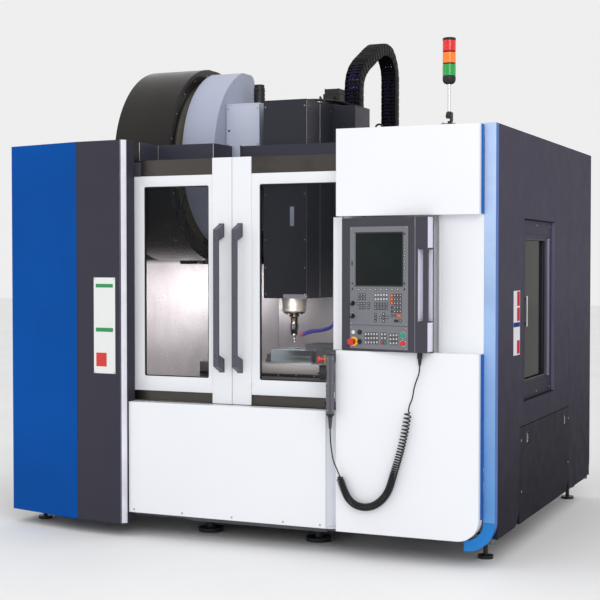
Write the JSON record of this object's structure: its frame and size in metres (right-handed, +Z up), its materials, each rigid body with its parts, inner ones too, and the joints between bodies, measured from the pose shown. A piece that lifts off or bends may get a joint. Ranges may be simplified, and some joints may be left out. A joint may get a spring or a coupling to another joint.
{
  "type": "vertical machining centre",
  "caption": "Enclosed vertical CNC milling centre with sliding doors, side tool magazine, swivelling operator panel, hand pendant and signal tower.",
  "frame": {"origin": "on the floor, at the middle of the footprint", "axes": "+X to the machine's right as seen by its operator, +Y to the rear, +Z up"},
  "size_m": [2.912, 2.4451, 2.89],
  "materials": {
    "dark_steel": "blackened steel",
    "cast_paint": "painted casting",
    "ground_steel": "ground",
    "black_metal": "satin black",
    "table_iron": "ground cast iron",
    "vise_steel": "oiled steel",
    "billet": "milled",
    "dark_grey_paint": "fine textured powder coat",
    "black_gloss_paint": "gloss",
    "black_plastic": "matte",
    "pale_grey_paint": "satin",
    "white_paint": "satin powder coat",
    "blue_paint": "satin, printed with fine light specks",
    "safety_glass": "clear",
    "stainless": "brushed, reflecting",
    "grey_cast": "satin",
    "grey_plate": "satin",
    "screen_glass": "dark, off",
    "red_plastic": "gloss",
    "green_plastic": "gloss",
    "dark_plastic": "fine textured",
    "cord_jacket": "satin",
    "signal_plastic": "translucent red, amber and green tiers"
  },
  "bodies": {
    "enclosure": {"levelling_feet": "dark_steel", "base_casting": "cast_paint", "linear_rails": "ground_steel", "column": "cast_paint", "servo_motors": "black_metal", "magazine_guard": "black_gloss_paint", "magazine_cover": "pale_grey_paint", "changer_gearbox": "pale_grey_paint", "right_front_cover": "white_paint", "blue_corner_band": "blue_paint", "right_side_strips": "dark_grey_paint", "right_middle_panel": "dark_grey_paint", "side_hatch": "dark_grey_paint", "lower_front_panel": "white_paint", "left_blue_panel": "blue_paint", "left_grey_panel": "dark_grey_paint", "left_side_panel": "dark_grey_paint", "top_band": "dark_grey_paint", "inner_guards": "stainless", "chip_pan": "stainless", "door_rails": "stainless", "pendant_body": "dark_plastic", "cord_lead_panel": "cord_jacket", "cord_lead_pendant": "cord_jacket", "curly_cord": "cord_jacket", "tower_bracket": "black_plastic", "drag_chain": "black_plastic", "electrical_cabinet": "dark_grey_paint", "rear_covers": "dark_grey_paint"},
    "saddle": {"saddle": "cast_paint"},
    "table": {"table": "table_iron", "vise": "vise_steel", "workpiece": "billet"},
    "head": {"head_casing": "dark_grey_paint", "head_carriage": "dark_grey_paint", "spindle_nose": "ground_steel"},
    "spindle": {"spindle_tool": "ground_steel"},
    "magazine": {"magazine_disc": "black_plastic"},
    "arm": {"tool_arm": "ground_steel"},
    "left_door": {"left_door_frame": "stainless", "left_door_window": "safety_glass", "left_door_handle": "grey_cast"},
    "right_door": {"right_door_frame": "stainless", "right_door_window": "safety_glass", "right_door_handle": "grey_cast"},
    "operator_panel": {"panel_housing": "dark_grey_paint", "panel_faceplate": "grey_plate", "panel_screen": "screen_glass"},
    "estop": {"panel_estop": "red_plastic"},
    "spindle_override": {"knob_spindle": "black_plastic"},
    "feed_override": {"knob_feed": "black_plastic"},
    "start": {"start_button": "green_plastic"},
    "stop": {"stop_button": "red_plastic"},
    "handwheel": {"pendant_wheel": "black_plastic"},
    "pendant_stop": {"pendant_estop": "red_plastic"},
    "tower": {"tower_stack": "signal_plastic"},
    "side_door": {"service_door": "dark_grey_paint", "service_window": "safety_glass"},
    "cabinet_lid": {"cabinet_door": "dark_grey_paint"},
    "isolator": {"main_switch": "red_plastic"}
  },
  "joints": [
    {"name": "saddle_slide_y", "type": "slide", "parent": "enclosure", "child": "saddle", "axis": [0, 1, 0], "range_m": [-0.24, 0.24]},
    {"name": "table_slide_x", "type": "slide", "parent": "saddle", "child": "table", "axis": [1, 0, 0], "range_m": [-0.42, 0.42]},
    {"name": "head_slide_z", "type": "slide", "parent": "enclosure", "child": "head", "axis": [0, 0, 1], "range_m": [-0.02, 0.34], "deforming": ["drag_chain"]},
    {"name": "spindle_turn", "type": "hinge", "parent": "head", "child": "spindle", "pos_m": [0.052, -0.35265, 1.2], "axis": [0, 0, 1], "continuous": true},
    {"name": "magazine_turn", "type": "hinge", "parent": "enclosure", "child": "magazine", "pos_m": [-0.831, -0.07665, 2.108], "axis": [1, 0, 0], "continuous": true},
    {"name": "arm_swing", "type": "hinge", "parent": "enclosure", "child": "arm", "pos_m": [-0.256, -0.20265, 1.6], "axis": [0, 0, 1], "range_deg": [-22, 15]},
    {"name": "left_door_slide", "type": "slide", "parent": "enclosure", "child": "left_door", "axis": [-1, 0, 0], "range_m": [0, 0.5]},
    {"name": "right_door_slide", "type": "slide", "parent": "enclosure", "child": "right_door", "axis": [1, 0, 0], "range_m": [0, 0.5]},
    {"name": "panel_swing", "type": "hinge", "parent": "enclosure", "child": "operator_panel", "pos_m": [0.672, -1.09265, 1.4], "axis": [0, 0, -1], "range_deg": [0, 75]},
    {"name": "estop_push", "type": "slide", "parent": "operator_panel", "child": "estop", "axis": [0.1822, 0.9833, 0], "range_m": [0, 0.006], "stiffness_N_per_m": 1500},
    {"name": "start_push", "type": "slide", "parent": "operator_panel", "child": "start", "axis": [0.1822, 0.9833, 0], "range_m": [0, 0.003], "stiffness_N_per_m": 800},
    {"name": "stop_push", "type": "slide", "parent": "operator_panel", "child": "stop", "axis": [0.1822, 0.9833, 0], "range_m": [0, 0.003], "stiffness_N_per_m": 800},
    {"name": "spindle_override_turn", "type": "hinge", "parent": "operator_panel", "child": "spindle_override", "pos_m": [0.7268, -1.15366, 1.304], "axis": [-0.1822, -0.9833, 0], "range_deg": [-135, 135]},
    {"name": "feed_override_turn", "type": "hinge", "parent": "operator_panel", "child": "feed_override", "pos_m": [0.7268, -1.15366, 1.239], "axis": [-0.1822, -0.9833, 0], "range_deg": [-135, 135]},
    {"name": "handwheel_turn", "type": "hinge", "parent": "enclosure", "child": "handwheel", "pos_m": [0.57992, -1.18745, 0.949], "axis": [0.9252, 0.3795, 0], "continuous": true},
    {"name": "pendant_stop_push", "type": "slide", "parent": "enclosure", "child": "pendant_stop", "axis": [0.9252, 0.3795, 0], "range_m": [0, 0.004], "stiffness_N_per_m": 1500},
    {"name": "tower_fold", "type": "hinge", "parent": "enclosure", "child": "tower", "pos_m": [1.222, -1.10665, 2.232], "axis": [-1, 0, 0], "range_deg": [0, 85]},
    {"name": "side_door_swing", "type": "hinge", "parent": "enclosure", "child": "side_door", "pos_m": [1.436, 0.17135, 1.257], "axis": [0, 0, 1], "range_deg": [0, 88]},
    {"name": "cabinet_lid_swing", "type": "hinge", "parent": "enclosure", "child": "cabinet_lid", "pos_m": [-0.434, 1.18735, 1.225], "axis": [0, 0, 1], "range_deg": [0, 105]},
    {"name": "isolator_turn", "type": "hinge", "parent": "cabinet_lid", "child": "isolator", "pos_m": [0.394, 1.19735, 1.45], "axis": [0, 1, 0], "range_deg": [0, 90]}
  ]
}
